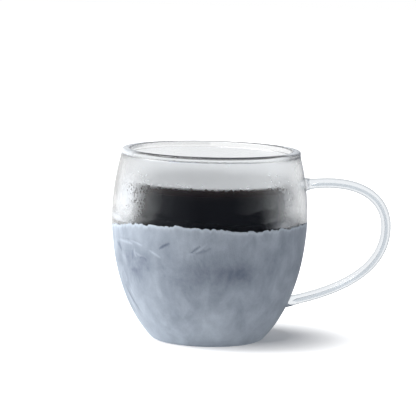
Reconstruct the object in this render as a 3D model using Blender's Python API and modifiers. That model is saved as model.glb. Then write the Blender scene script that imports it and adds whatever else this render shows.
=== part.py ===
"""Double-wall glass mug: two blown walls fused at the lip, frozen gel between them, a D handle.

Metres, +Z up. The origin is the centre of the standing face, Z is the axis of the mug,
and +X points at the handle.
"""

import math

import bpy
import numpy as np

# Outer wall
MUG_HEIGHT = 0.088  # table to the crest of the lip
BELLY_RADIUS = 0.045  # outside, at the widest ring
BELLY_HEIGHT = 0.057  # table to the widest ring
SHOULDER_DRAW = 0.0038  # how far the wall comes in between belly and lip
FOOT_RADIUS = 0.025  # where the lower curve of the wall would meet the table
FOOT_CURVE_DEPTH = 0.008  # how far below the table that curve would turn level
FOOT_ROUNDING = 0.005  # radius between the wall and the standing face
OUTER_WALL = 0.0018
BASE_THICKNESS = 0.0035

# Fused lip
LIP_HEIGHT = 0.0026

# Inner cup
INNER_WALL = 0.0016
MOUTH_GAP = 0.001  # between the two walls just under the lip
BELLY_GAP = 0.0068  # between the two walls at the belly
CUP_WAIST_HEIGHT = 0.050  # where the straight side turns into the round bottom
CUP_FLOOR_HEIGHT = 0.011  # table to the underside of the cup
CUP_BOTTOM_FULLNESS = 2.6  # exponent of the bottom curve, 2 is an ellipse

# Frozen gel
GEL_LEVEL = 0.053  # table to the top of the gel

# Filling hole and its stopper
PLUG_STEM_RADIUS = 0.0032
PLUG_HEAD_RADIUS = 0.005
PLUG_HEAD_HEIGHT = 0.0012
SEALANT_WIDTH = 0.0016

# Handle
HANDLE_THICKNESS = 0.0045  # seen from the side
HANDLE_DEPTH = 0.0066  # across the handle
FINGER_ROOM = 0.034  # belly to the inside of the grip
GRIP_HEIGHT = 0.0535  # where the grip stands furthest out
GRIP_RISE = 0.013  # reach of the grip's curve upwards
GRIP_FALL = 0.019  # reach of the grip's curve downwards
UPPER_WELD_DROP = 0.0153  # crest of the lip to the middle of the upper weld
UPPER_WELD_SLOPE = math.radians(7.0)
UPPER_WELD_LENGTH = 0.0028
UPPER_WELD_RADIUS = 0.0044
UPPER_RUN = 0.0235  # reach of the curve that leaves the upper weld
LOWER_WELD_HEIGHT = 0.0182  # table to the middle of the lower weld
LOWER_WELD_SLOPE = math.radians(15.0)
LOWER_WELD_LENGTH = 0.0046
LOWER_WELD_RADIUS = 0.0031
LOWER_RUN = 0.021  # reach of the curve that leaves the lower weld
WELD_COLLAR = 0.0002  # how far a weld stands out round the end of the handle

# Fits and facets
FIT_GAP = 0.0003  # between neighbouring pieces
TURN_STEPS = 48
SHOULDER_STEPS = 6
FOOT_STEPS = 11
ROUNDING_STEPS = 3
LIP_STEPS = 8
CUP_SIDE_STEPS = 5
CUP_BOTTOM_STEPS = 10
WELD_STEPS = 5
HANDLE_STEPS = 14
HANDLE_SIDES_RESOLUTION = 4
MERGE_DISTANCE = 0.00001

# Levels and radii that follow from the sizes above
LIP_BASE = MUG_HEIGHT - LIP_HEIGHT
WALL_TOP = LIP_BASE - FIT_GAP
SHOULDER_RADIUS = BELLY_RADIUS - SHOULDER_DRAW
UPPER_WELD_HEIGHT = MUG_HEIGHT - UPPER_WELD_DROP
CUP_MOUTH_RADIUS = SHOULDER_RADIUS - OUTER_WALL - MOUTH_GAP
CUP_WAIST_RADIUS = BELLY_RADIUS - OUTER_WALL - BELLY_GAP
COUNTERBORE_RADIUS = PLUG_HEAD_RADIUS + FIT_GAP + SEALANT_WIDTH + FIT_GAP
COUNTERBORE_DEPTH = PLUG_HEAD_HEIGHT + FIT_GAP
STEM_HOLE_RADIUS = PLUG_STEM_RADIUS + FIT_GAP
GRIP_REACH = BELLY_RADIUS + FINGER_ROOM + HANDLE_THICKNESS / 2
DEPTH_RATIO = HANDLE_DEPTH / HANDLE_THICKNESS


def clear_scene():
    for leftover in list(bpy.data.objects):
        bpy.data.objects.remove(leftover, do_unlink=True)


def new_collection(name):
    collection = bpy.data.collections.new(name)
    bpy.context.scene.collection.children.link(collection)
    return collection


def new_material(name, colour, roughness, transmission=0.0):
    """One Principled material; colour is linear red, green and blue."""
    material = bpy.data.materials.new(name)
    material.use_nodes = True
    shader = material.node_tree.nodes["Principled BSDF"]
    shader.inputs["Base Color"].default_value = (*colour, 1.0)
    shader.inputs["Roughness"].default_value = roughness
    shader.inputs["Metallic"].default_value = 0.0
    shader.inputs["Transmission Weight"].default_value = transmission
    return material


# Curves in the (radius, height) plane, all running down the outer side


def foot_ellipse():
    """Radial and vertical half axes of the wall below the belly."""
    vertical = BELLY_HEIGHT + FOOT_CURVE_DEPTH
    drop_share = 1 - math.sqrt(1 - (BELLY_HEIGHT / vertical) ** 2)
    return (BELLY_RADIUS - FOOT_RADIUS) / drop_share, vertical


def wall_radius(height):
    """Outside radius of the wall: a parabola above the belly, an ellipse below it."""
    if height > BELLY_HEIGHT:
        rise = (height - BELLY_HEIGHT) / (LIP_BASE - BELLY_HEIGHT)
        return BELLY_RADIUS - SHOULDER_DRAW * rise**2
    radial, vertical = foot_ellipse()
    drop = (BELLY_HEIGHT - height) / vertical
    return BELLY_RADIUS - radial * (1 - math.sqrt(1 - drop**2))


def wall_curve():
    """Outside of the wall, carried on past its top and its foot so that it can be cut there."""
    _, vertical = foot_ellipse()
    lowest = math.asin((BELLY_HEIGHT + FOOT_CURVE_DEPTH / 2) / vertical)
    upper = np.linspace(MUG_HEIGHT, BELLY_HEIGHT, SHOULDER_STEPS, endpoint=False)
    lower = BELLY_HEIGHT - vertical * np.sin(np.linspace(0, lowest, FOOT_STEPS))
    return np.array([(wall_radius(z), z) for z in (*upper, *lower)])


def cup_curve():
    """Outside of the inner cup, carried on past its top, to the middle of its round bottom."""
    side_height = np.linspace(MUG_HEIGHT, CUP_WAIST_HEIGHT, CUP_SIDE_STEPS, endpoint=False)
    rise = (side_height - CUP_WAIST_HEIGHT) / (LIP_BASE - CUP_WAIST_HEIGHT)
    side_radius = CUP_WAIST_RADIUS + (CUP_MOUTH_RADIUS - CUP_WAIST_RADIUS) * rise**2
    angle = np.linspace(0, math.pi / 2, CUP_BOTTOM_STEPS)
    power = 2 / CUP_BOTTOM_FULLNESS
    bottom_radius = CUP_WAIST_RADIUS * np.cos(angle) ** power
    bottom_radius[-1] = 0.0
    bottom_height = CUP_WAIST_HEIGHT - (CUP_WAIST_HEIGHT - CUP_FLOOR_HEIGHT) * np.sin(angle) ** power
    radius = np.concatenate([side_radius, bottom_radius])
    height = np.concatenate([side_height, bottom_height])
    return np.column_stack([radius, height])


def offset_curve(curve, distance):
    """Move each point outwards along the curve's normal; a point on the axis stays on it."""
    tangent = np.gradient(curve, axis=0)
    tangent[curve[:, 0] == 0] = (-1, 0)
    normal = np.column_stack([-tangent[:, 1], tangent[:, 0]])
    normal /= np.linalg.norm(normal, axis=1, keepdims=True)
    return curve + distance * normal


def between_heights(curve, low, high):
    """The stretch of a falling curve between two heights, ending exactly on them."""
    heights = curve[::-1, 1]
    radii = curve[::-1, 0]
    first = (np.interp(high, heights, radii), high)
    last = (np.interp(low, heights, radii), low)
    inside = curve[(curve[:, 1] < high - MERGE_DISTANCE) & (curve[:, 1] > low + MERGE_DISTANCE)]
    return np.vstack([first, inside, last])


def rounded_foot(curve):
    """The wall's outside with an arc between it and the standing face."""
    arc_centres = offset_curve(curve, -FOOT_ROUNDING)[::-1]
    centre_radius = np.interp(FOOT_ROUNDING, arc_centres[:, 1], arc_centres[:, 0])
    touch_height = np.interp(FOOT_ROUNDING, arc_centres[:, 1], curve[::-1, 1])
    wall = between_heights(curve, touch_height, WALL_TOP)
    start = math.atan2(touch_height - FOOT_ROUNDING, wall[-1, 0] - centre_radius)
    angle = np.linspace(start, -math.pi / 2, ROUNDING_STEPS + 1)[1:]
    arc = np.column_stack([np.cos(angle), np.sin(angle)]) * FOOT_ROUNDING
    return np.vstack([wall, arc + (centre_radius, FOOT_ROUNDING)])


# Solids


def turned(name, profile, material, collection, closed):
    """A profile in the XZ plane turned about Z; a closed one makes a ring."""
    count = len(profile)
    points = [(radius, 0.0, height) for radius, height in profile]
    edges = [(i, i + 1) for i in range(count - 1)]
    if closed:
        edges.append((count - 1, 0))
    mesh = bpy.data.meshes.new(name)
    mesh.from_pydata(points, edges, [])
    mesh.materials.append(material)
    solid = bpy.data.objects.new(name, mesh)
    collection.objects.link(solid)
    screw = solid.modifiers.new("turn", "SCREW")
    screw.axis = "Z"
    screw.steps = TURN_STEPS
    screw.render_steps = TURN_STEPS
    screw.use_merge_vertices = True
    screw.merge_threshold = MERGE_DISTANCE
    screw.use_smooth_shade = True
    return solid


def outer_wall(material, collection):
    """Blown outer wall with its base and the counterbored filling hole."""
    curve = wall_curve()
    outside = rounded_foot(curve)
    hole = [
        (COUNTERBORE_RADIUS, 0.0),
        (COUNTERBORE_RADIUS, COUNTERBORE_DEPTH),
        (STEM_HOLE_RADIUS, COUNTERBORE_DEPTH),
        (STEM_HOLE_RADIUS, BASE_THICKNESS),
    ]
    inside = between_heights(offset_curve(curve, -OUTER_WALL), BASE_THICKNESS, WALL_TOP)[::-1]
    return turned("outer_wall", np.vstack([outside, hole, inside]), material, collection, True)


def inner_cup(material, collection):
    """Blown inner cup that holds the drink."""
    curve = cup_curve()
    outside = between_heights(curve, CUP_FLOOR_HEIGHT, WALL_TOP)
    inside = between_heights(offset_curve(curve, -INNER_WALL), CUP_FLOOR_HEIGHT + INNER_WALL, WALL_TOP)
    profile = np.vstack([inside[::-1], outside])
    return turned("inner_cup", profile, material, collection, False)


def rim_bead(material, collection):
    """Rounded lip where the two walls are fused, a half ellipse on a flat base."""
    inner = CUP_MOUTH_RADIUS - INNER_WALL
    middle = (SHOULDER_RADIUS + inner) / 2
    half_width = (SHOULDER_RADIUS - inner) / 2
    angle = np.linspace(math.pi, 0, LIP_STEPS + 1)
    radius = middle + half_width * np.cos(angle)
    height = LIP_BASE + LIP_HEIGHT * np.sin(angle)
    return turned("rim_bead", np.column_stack([radius, height]), material, collection, True)


def cooling_gel(material, collection):
    """Frozen gel that fills the gap between the walls up to its level."""
    floor = BASE_THICKNESS + FIT_GAP
    against_cup = offset_curve(cup_curve(), FIT_GAP)
    against_cup = between_heights(against_cup, CUP_FLOOR_HEIGHT - FIT_GAP, GEL_LEVEL)[::-1]
    against_wall = offset_curve(wall_curve(), -OUTER_WALL - FIT_GAP)
    against_wall = between_heights(against_wall, floor, GEL_LEVEL)
    profile = np.vstack([against_cup, against_wall, [(0.0, floor)]])
    return turned("cooling_gel", profile, material, collection, False)


def fill_plug(material, collection):
    """Stopper in the filling hole, its head level with the standing face."""
    profile = [
        (0.0, BASE_THICKNESS),
        (PLUG_STEM_RADIUS, BASE_THICKNESS),
        (PLUG_STEM_RADIUS, PLUG_HEAD_HEIGHT),
        (PLUG_HEAD_RADIUS, PLUG_HEAD_HEIGHT),
        (PLUG_HEAD_RADIUS, 0.0),
        (0.0, 0.0),
    ]
    return turned("fill_plug", profile, material, collection, False)


def plug_sealant(material, collection):
    """Sealant ring between the stopper's head and the counterbore."""
    inner = PLUG_HEAD_RADIUS + FIT_GAP
    outer = inner + SEALANT_WIDTH
    low = FIT_GAP
    high = COUNTERBORE_DEPTH - FIT_GAP
    profile = [(inner, high), (outer, high), (outer, low), (inner, low)]
    return turned("plug_sealant", profile, material, collection, True)


def weld_place(height, slope):
    """Where a weld meets the wall, and the direction in which it leaves it."""
    foot = np.array([wall_radius(height), 0.0, height])
    direction = np.array([math.cos(slope), 0.0, math.sin(slope)])
    return foot, direction


def wall_cutter(collection):
    """The mug's outside with the fit gap round it, which shapes the welds' faces."""
    grown = between_heights(offset_curve(wall_curve(), FIT_GAP), 0.0, WALL_TOP)
    profile = np.vstack([[(0.0, WALL_TOP)], grown, [(0.0, 0.0)]])
    material = new_material("cutter", (0.5, 0.5, 0.5), 0.5)
    cutter = turned("wall_cutter", profile, material, collection, False)
    cutter.hide_render = True
    cutter.display_type = "WIRE"
    return cutter


def handle_weld(name, place, slope, length, foot_radius, material, collection, cutter):
    """Gather of glass that flares from the end of the handle onto the wall."""
    end_radius = HANDLE_THICKNESS / 2 + WELD_COLLAR
    along = np.linspace(1, 0, WELD_STEPS)
    flare = [(end_radius + (foot_radius - end_radius) * (1 - s) ** 2, length * s) for s in along]
    inside_wall = -2 * foot_radius
    profile = [(0.0, length), *flare, (foot_radius, inside_wall), (0.0, inside_wall)]
    weld = turned(name, profile, material, collection, False)
    weld.location = place
    weld.rotation_euler = (0.0, math.pi / 2 - slope, 0.0)
    weld.scale = (1.0, DEPTH_RATIO, 1.0)
    cut = weld.modifiers.new("fit_to_wall", "BOOLEAN")
    cut.operation = "DIFFERENCE"
    cut.solver = "EXACT"
    cut.object = cutter
    return weld


def handle_rod(material, collection):
    """Bent oval rod: one curve from the upper weld round the grip to the lower weld."""
    upper_foot, upper_way = weld_place(UPPER_WELD_HEIGHT, UPPER_WELD_SLOPE)
    lower_foot, lower_way = weld_place(LOWER_WELD_HEIGHT, LOWER_WELD_SLOPE)
    upper_end = upper_foot + upper_way * (UPPER_WELD_LENGTH + FIT_GAP)
    lower_end = lower_foot + lower_way * (LOWER_WELD_LENGTH + FIT_GAP)
    grip = np.array([GRIP_REACH, 0.0, GRIP_HEIGHT])
    up = np.array([0.0, 0.0, 1.0])
    stations = [
        (upper_end - upper_way * UPPER_RUN, upper_end, upper_end + upper_way * UPPER_RUN),
        (grip + up * GRIP_RISE, grip, grip - up * GRIP_FALL),
        (lower_end + lower_way * LOWER_RUN, lower_end, lower_end - lower_way * LOWER_RUN),
    ]
    path = bpy.data.curves.new("handle_rod", "CURVE")
    path.dimensions = "3D"
    path.resolution_u = HANDLE_STEPS
    path.render_resolution_u = HANDLE_STEPS
    path.bevel_depth = HANDLE_THICKNESS / 2
    path.bevel_resolution = HANDLE_SIDES_RESOLUTION
    path.use_fill_caps = True
    path.materials.append(material)
    spline = path.splines.new("BEZIER")
    spline.bezier_points.add(len(stations) - 1)
    for point, (before, at, after) in zip(spline.bezier_points, stations):
        point.handle_left_type = "FREE"
        point.handle_right_type = "FREE"
        point.handle_left = before
        point.co = at
        point.handle_right = after
    rod = bpy.data.objects.new("handle_rod", path)
    rod.scale = (1.0, DEPTH_RATIO, 1.0)
    collection.objects.link(rod)
    return rod


def build_mug():
    clear_scene()
    parts = new_collection("glass_mug")
    cutters = new_collection("cutters")
    frame = bpy.data.objects.new("mug_axis", None)
    parts.objects.link(frame)

    outer_glass = new_material("outer_glass", (0.90, 0.94, 0.95), 0.08, 0.9)
    inner_glass = new_material("inner_glass", (0.92, 0.95, 0.96), 0.05, 0.9)
    lip_glass = new_material("lip_glass", (0.80, 0.86, 0.89), 0.04, 0.9)
    handle_glass = new_material("handle_glass", (0.93, 0.96, 0.97), 0.03, 0.9)
    upper_weld_glass = new_material("upper_weld_glass", (0.82, 0.89, 0.88), 0.04, 0.9)
    lower_weld_glass = new_material("lower_weld_glass", (0.78, 0.85, 0.87), 0.04, 0.9)
    frozen_gel = new_material("frozen_gel", (0.38, 0.43, 0.50), 0.55)
    stopper_silicone = new_material("stopper_silicone", (0.80, 0.81, 0.81), 0.45)
    clear_sealant = new_material("clear_sealant", (0.86, 0.88, 0.88), 0.30)

    cutter = wall_cutter(cutters)
    upper_place, _ = weld_place(UPPER_WELD_HEIGHT, UPPER_WELD_SLOPE)
    lower_place, _ = weld_place(LOWER_WELD_HEIGHT, LOWER_WELD_SLOPE)
    pieces = [
        outer_wall(outer_glass, parts),
        inner_cup(inner_glass, parts),
        rim_bead(lip_glass, parts),
        cooling_gel(frozen_gel, parts),
        fill_plug(stopper_silicone, parts),
        plug_sealant(clear_sealant, parts),
        handle_rod(handle_glass, parts),
        handle_weld(
            "handle_weld_upper", upper_place, UPPER_WELD_SLOPE, UPPER_WELD_LENGTH,
            UPPER_WELD_RADIUS, upper_weld_glass, parts, cutter,
        ),
        handle_weld(
            "handle_weld_lower", lower_place, LOWER_WELD_SLOPE, LOWER_WELD_LENGTH,
            LOWER_WELD_RADIUS, lower_weld_glass, parts, cutter,
        ),
    ]
    for piece in pieces:
        piece.parent = frame


build_mug()
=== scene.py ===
"""Looks of the double-wall glass mug: blown glass, a frozen lower half, a misted upper half, a cold drink.

Shapes are worked out in millimetres in the frame of the solids, +Z up, and put into meshes in metres.
"""

import math

import bpy
import bmesh
import numpy as np
from mathutils import Euler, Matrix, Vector


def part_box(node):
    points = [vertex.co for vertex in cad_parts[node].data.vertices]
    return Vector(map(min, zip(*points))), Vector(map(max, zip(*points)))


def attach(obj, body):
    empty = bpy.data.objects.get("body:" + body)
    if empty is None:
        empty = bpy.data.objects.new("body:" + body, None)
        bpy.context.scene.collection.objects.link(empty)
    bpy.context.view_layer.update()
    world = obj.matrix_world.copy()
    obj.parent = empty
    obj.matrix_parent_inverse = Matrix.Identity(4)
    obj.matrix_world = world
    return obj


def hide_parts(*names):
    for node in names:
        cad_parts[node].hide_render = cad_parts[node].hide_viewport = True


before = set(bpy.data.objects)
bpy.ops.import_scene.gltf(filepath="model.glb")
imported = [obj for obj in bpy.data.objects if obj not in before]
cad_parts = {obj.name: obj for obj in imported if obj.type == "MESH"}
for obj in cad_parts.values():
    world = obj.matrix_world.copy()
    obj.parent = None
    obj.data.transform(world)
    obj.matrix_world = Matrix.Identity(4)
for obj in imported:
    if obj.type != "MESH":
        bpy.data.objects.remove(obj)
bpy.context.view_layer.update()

MM = 0.001


def node_top(node):
    """Highest corner of a node's box, in millimetres."""
    return np.array(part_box(node)[1]) / MM


def node_bottom(node):
    """Lowest corner of a node's box, in millimetres."""
    return np.array(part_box(node)[0]) / MM


# Mug, from the solids
BELLY_RADIUS = node_top("outer_wall")[1]
LIP_BASE = node_bottom("rim_bead")[2]
LIP_CREST = node_top("rim_bead")[2]
SHOULDER_RADIUS = node_top("rim_bead")[1]
CUP_FLOOR = node_bottom("inner_cup")[2]
GEL_LEVEL = node_top("cooling_gel")[2]
GEL_FLOOR = node_bottom("cooling_gel")[2]
GRIP_OUTSIDE = node_top("handle_rod")[0]
HANDLE_DEPTH = 2 * node_top("handle_rod")[1]

# Mug, sizes that the boxes don't give
BELLY_HEIGHT = 57.0
FOOT_RADIUS = 25.0
FOOT_CURVE_DEPTH = 8.0
FOOT_ROUNDING = 5.0
OUTER_WALL = 1.8
BASE_THICKNESS = 3.5
INNER_WALL = 1.6
MOUTH_GAP = 1.0
BELLY_GAP = 6.8
CUP_WAIST_HEIGHT = 50.0
CUP_BOTTOM_FULLNESS = 2.6
COUNTERBORE_RADIUS = 7.2
COUNTERBORE_DEPTH = 1.5
STEM_HOLE_RADIUS = 3.5
HOLE_EDGE = 0.3
LIP_FULLNESS = 5.0

# Handle
HANDLE_THICKNESS = 4.5
GRIP_HEIGHT = 53.5
GRIP_RISE = 13.0
GRIP_FALL = 19.0
UPPER_WELD_HEIGHT = 72.7
UPPER_WELD_SLOPE = math.radians(7.0)
UPPER_WELD_LENGTH = 3.1
UPPER_WELD_FLARE = 1.35
UPPER_RUN = 23.5
LOWER_WELD_HEIGHT = 18.2
LOWER_WELD_SLOPE = math.radians(15.0)
LOWER_WELD_LENGTH = 4.9
LOWER_WELD_FLARE = 1.12
LOWER_RUN = 21.0
WELD_SINK = 0.25
UPPER_WELD_REACH = 1.7
LOWER_WELD_REACH = 1.3
BORE_RADIUS = 0.26
BORE_TAPER = 3.0
BORE_START = 1.2
BORE_SHIFT = (0.15, -0.3)

# Skins on the outside of the glass, measured inwards from the outline of the solids
GLASS_SKIN = 0.04
FROST_BED = 0.32
FROST_BED_TOP = 51.0
FROST_BED_SLOPE = 5.0
FROST_OUTSIDE = 0.01

# Mist on the upper half: where it thickens towards the sides, as the cosine of the angle,
# above the drink and on the lip
MIST_LEFT = 0.53
MIST_LEFT_WIDTH = 0.19
MIST_LOW = 0.1
MIST_LOW_TOP = 63.0
MIST_LOW_HEIGHT = 5.0
MIST_RIGHT = 0.58
MIST_RIGHT_WIDTH = 0.25
MIST_ABOVE = 70.6
MIST_ABOVE_WIDTH = 4.4
MIST_THIN = 0.03
MIST_SCATTER = 0.66
WALL_MIST = 0.64
BACK_MIST = 0.4
BACK_MIST_FADE = 0.3
LIP_MIST = 0.15
LIP_MIST_FROM = 85.2
LIP_MIST_FADE = 0.8
CREST_MIST = 0.4
LIP_CLEAR = 86.9
LIP_CLEAR_WIDTH = 0.5
LIP_CLEAR_SIDE = 0.62
LIP_CLEAR_FADE = 0.3
# Painted dark reflection along the front of the lip's crest: its start and width in height, its reach from
# the middle of the lip, and its fade to the sides
LIP_PAINTED_LINE_FROM = 87.0
LIP_PAINTED_LINE_WIDTH = 0.5
LIP_PAINTED_LINE_REACH = 1.5
LIP_PAINTED_LINE_SIDE = 0.45
LIP_PAINTED_LINE_FADE = 0.4
# White mist, a skin over the lip and the wall
DEW_OUTSIDE = 0.005
DEW_INSIDE = 0.02
DEW_FOOT = 56.2
DEW_ROWS = 40
DEW_FROM = 0.75
DEW_WIDTH = 0.2
DEW_END = 0.6
DEW_BACK = 0.12
DEW_FADE = 0.8
DEW_INNER = 0.3
DEW_INNER_FADE = 1.2
# Thawed glass above the frozen edge, and a thin veil over the left of the drink
THAW_GAP = 0.3
THAW_WIDTH = 1.4
THAW_SIDE = 0.72
THAW_FADE = 0.1
VEIL_THIN = 0.2
VEIL_FROM = 0.0
VEIL_WIDTH = 0.5

# Patches: angle, height, half angle, half height, and the most that they reach
PATCH_FOOT = 0.01
# Where the mist has run together into beads
BEAD_PATCHES = (
    (225.0, 71.0, 11.0, 6.5, 0.95),
    (313.0, 71.0, 12.0, 6.0, 0.9),
    (268.0, 73.8, 42.0, 1.8, 0.75),
    (224.0, 64.0, 8.0, 9.0, 0.4),
    (268.0, 85.0, 50.0, 1.2, 0.12),
)
# Where the mist is white
DEW_PATCHES = (
    (213.0, 68.0, 10.0, 9.0, 0.5),
    (322.0, 69.0, 8.0, 7.0, 0.4),
    (200.0, 57.0, 13.0, 3.5, 0.5),
    (319.0, 57.5, 9.0, 3.0, 0.4),
    (335.0, 86.0, 14.0, 1.2, 0.3),
)
# Where the glass has stayed dry
SIDE_DRY = 0.45
SIDE_DRY_FROM = 0.86
SIDE_DRY_WIDTH = 0.1
SIDE_DRY_FADE = 3.0
DRY_PATCHES = (
    (192.0, 62.5, 24.0, 5.0, 0.9),
)
# Where beads have run off and left clear spots over the drink
RUN_PATCHES = (
    (236.0, 65.0, 16.0, 8.0, 0.6),
    (262.0, 63.0, 30.0, 7.0, 0.25),
    (268.0, 73.2, 42.0, 1.4, 0.5),
)

# Height of the frozen edge round the mug, one value every 22.5 degrees from the handle
FROST_EDGE = (
    55.6, 55.9, 56.4, 56.0, 55.5, 54.6, 51.6, 50.2,
    52.2, 54.5, 56.6, 57.2, 56.9, 55.4, 55.8, 55.9)
FROST_FOOT = 0.25
FROST_FOOT_FADE = 6.0
FROST_SINK = 0.02
RIME_WIDTH = 1.2
EDGE_TEETH = 210
EDGE_CRUMBS = 470
EDGE_JAG = 0.9
EDGE_CRUMBLE = 0.7
# Lumps of ice: cells round the mug, height of a cell, weight
FROST_LUMPS = ((40, 12.0, 0.6), (110, 5.0, 0.4))
FROST_RELIEF = 0.12
MARK_RELIEF = 0.06
MARK_TIP = 0.35

# Marks wiped into the frost, partly painted highlight and shade along their ridges: three points of (angle,
# height), half width, and shade, which is pale above 0 and dark below
WIPE_MARKS = (
    ((205, 48.5), (217, 49.0), (228, 48.0), 0.4, -0.5),
    ((202, 47.5), (213, 47.5), (219, 47.0), 0.6, 0.6),
    ((217, 49.0), (223, 48.0), (228, 47.0), 0.5, 0.6),
    ((200, 46.0), (204, 45.0), (206, 42.5), 1.0, -0.5),
    ((219, 44.5), (219, 42.5), (218, 40.0), 0.5, -0.4),
    ((221, 45.0), (221, 43.0), (222, 41.5), 0.5, 0.6),
    ((207, 40.5), (210, 39.0), (210, 37.0), 1.8, 0.4),
    ((222, 43.5), (225, 42.5), (230, 42.0), 0.5, 0.5),
    ((225, 41.0), (228, 42.0), (230, 40.5), 0.4, -0.4),
    ((233, 45.5), (237, 44.0), (241, 42.5), 0.5, 0.7),
    ((240, 46.5), (243, 48.0), (247, 49.5), 0.5, -1.0),
    ((205, 33.0), (207, 30.0), (205, 28.5), 0.5, 0.5),
    ((204, 33.0), (201, 31.0), (202, 29.5), 0.5, -0.4),
    ((216, 35.0), (221, 34.5), (222, 30.0), 1.6, -0.3),
    ((202, 26.5), (207, 20.5), (214, 13.5), 0.5, -1.2),
    ((208, 27.0), (210, 23.5), (212, 21.0), 0.5, 0.6),
    ((202, 23.0), (204, 18.0), (207, 11.5), 0.7, 0.6),
    ((260, 46.0), (263, 47.8), (265, 49.0), 0.5, -1.0),
    ((262, 46.0), (265, 47.4), (267, 48.6), 0.4, 0.5),
    ((263, 45.5), (266, 46.5), (269, 47.0), 0.9, -0.6),
    ((266, 48.5), (268, 49.4), (269, 50.5), 0.4, 0.4),
    ((258, 45.0), (260, 45.2), (262, 45.0), 0.4, 0.3),
    ((269, 47.5), (270, 47.8), (271, 48.0), 0.5, -0.5),
    ((296, 52.5), (297, 50.0), (298, 47.5), 2.0, -0.3),
    ((303, 50.0), (309, 48.5), (315, 47.5), 3.5, 0.2),
    ((284, 37.5), (289, 36.5), (294, 37.5), 6.0, -0.3),
    ((60, 44.0), (74, 47.5), (88, 45.0), 0.5, 0.7),
    ((84, 43.0), (88, 36.0), (80, 30.0), 0.5, 0.5),
    ((110, 40.0), (118, 44.0), (130, 46.0), 0.5, -0.7),
    ((140, 30.0), (146, 22.0), (150, 14.0), 0.5, 0.6),
    ((20, 38.0), (27, 41.0), (36, 40.0), 0.5, -0.5),
)

# Gel
GEL_GAP = 0.12
GEL_SWELL = 0.9
GEL_CELLS = 40
GEL_CELL_SIZE = 3.0
LEVEL_SLACK = 0.01

# Drink
DRINK_LEVEL = 72.5
MENISCUS = 0.9
MENISCUS_WIDTH = 2.2
DRINK_WETTING = 0.03

# Steps of the grids
ARC_SAMPLES = 400
UPPER_ROWS = 60
LOWER_ROWS = 30
ARC_ROWS = 8
CUP_SIDE_ROWS = 24
CUP_BOTTOM_ROWS = 34
GAP_TOP_ROWS = 9
FROST_INNER_ROWS = 20
GEL_TOP_ROWS = 12
DRINK_ROWS = 16
MENISCUS_ROWS = 20
MARK_STEPS = 20
STEM_STEPS = 10
UPPER_ARM_STEPS = 60
LOWER_ARM_STEPS = 70
ROD_SIDES = 48
SLIDES = 8
TURNS = 192
GLASS_TURNS = 320
LIP_STEPS = 33
FINE_TURNS = 640
FROST_ROWS = 116
SEED = 11


# Curves in the plane of radius and height

FOOT_DEPTH = BELLY_HEIGHT + FOOT_CURVE_DEPTH
FOOT_SPAN = (BELLY_RADIUS - FOOT_RADIUS) / (1 - math.sqrt(1 - (BELLY_HEIGHT / FOOT_DEPTH) ** 2))
CUP_MOUTH_RADIUS = SHOULDER_RADIUS - OUTER_WALL - MOUTH_GAP
CUP_WAIST_RADIUS = BELLY_RADIUS - OUTER_WALL - BELLY_GAP
LIP_INSIDE = CUP_MOUTH_RADIUS - INNER_WALL
LIP_MIDDLE = (SHOULDER_RADIUS + LIP_INSIDE) / 2
LIP_HALF = (SHOULDER_RADIUS - LIP_INSIDE) / 2
LIP_RISE = LIP_CREST - LIP_BASE


def ease(share):
    """Smooth step: 0 up to 0, 1 from 1 on, a cubic between."""
    share = np.clip(share, 0, 1)
    return share * share * (3 - 2 * share)


def wall_radius(height):
    """Outside of the wall: a parabola above the belly, an ellipse from the belly to the foot."""
    rise = (height - BELLY_HEIGHT) / (LIP_BASE - BELLY_HEIGHT)
    drop = np.clip((BELLY_HEIGHT - height) / FOOT_DEPTH, 0, 1)
    above = BELLY_RADIUS - (BELLY_RADIUS - SHOULDER_RADIUS) * rise**2
    below = BELLY_RADIUS - FOOT_SPAN * (1 - np.sqrt(1 - drop**2))
    return np.where(height > BELLY_HEIGHT, above, below)


def offset(curve, distance):
    """A falling curve moved outwards along its normals by a distance."""
    tangent = np.gradient(curve, axis=0)
    normal = np.column_stack([-tangent[:, 1], tangent[:, 0]])
    return curve + distance * normal / np.linalg.norm(normal, axis=1, keepdims=True)


def foot_arc():
    """Centre of the foot's arc, which is where the wall moved inwards by its radius has that height."""
    height = np.linspace(2 * FOOT_ROUNDING, 0, ARC_SAMPLES)
    centres = offset(np.column_stack([wall_radius(height), height]), -FOOT_ROUNDING)[::-1]
    centre = np.interp(FOOT_ROUNDING, centres[:, 1], centres[:, 0])
    touch = np.interp(FOOT_ROUNDING, centres[:, 1], height[::-1])
    return centre, touch


ARC_CENTRE, ARC_TOUCH = foot_arc()


def outline(height):
    """Outside radius at a height: the foot's arc, the wall, the outer half of the lip's superellipse."""
    reach = np.sqrt(np.clip(FOOT_ROUNDING**2 - (FOOT_ROUNDING - height) ** 2, 0, None))
    climb = np.clip((height - LIP_BASE) / LIP_RISE, 0, 1)
    lip = LIP_MIDDLE + LIP_HALF * (1 - climb**LIP_FULLNESS) ** (1 / LIP_FULLNESS)
    wall = np.where(height > ARC_TOUCH, wall_radius(height), ARC_CENTRE + reach)
    return np.where(height > LIP_BASE, lip, wall)


def outline_curve():
    """Outside of the mug from the lip down to the table, with even steps on the wall and on the arc."""
    start = math.asin((FOOT_ROUNDING - ARC_TOUCH) / FOOT_ROUNDING)
    upper = np.linspace(LIP_BASE, FROST_BED_TOP, UPPER_ROWS, endpoint=False)
    lower = np.linspace(FROST_BED_TOP, ARC_TOUCH, LOWER_ROWS, endpoint=False)
    arc = FOOT_ROUNDING * (1 - np.sin(np.linspace(start, math.pi / 2, ARC_ROWS)))
    height = np.concatenate([upper, lower, arc])
    return np.column_stack([outline(height), height])


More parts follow.
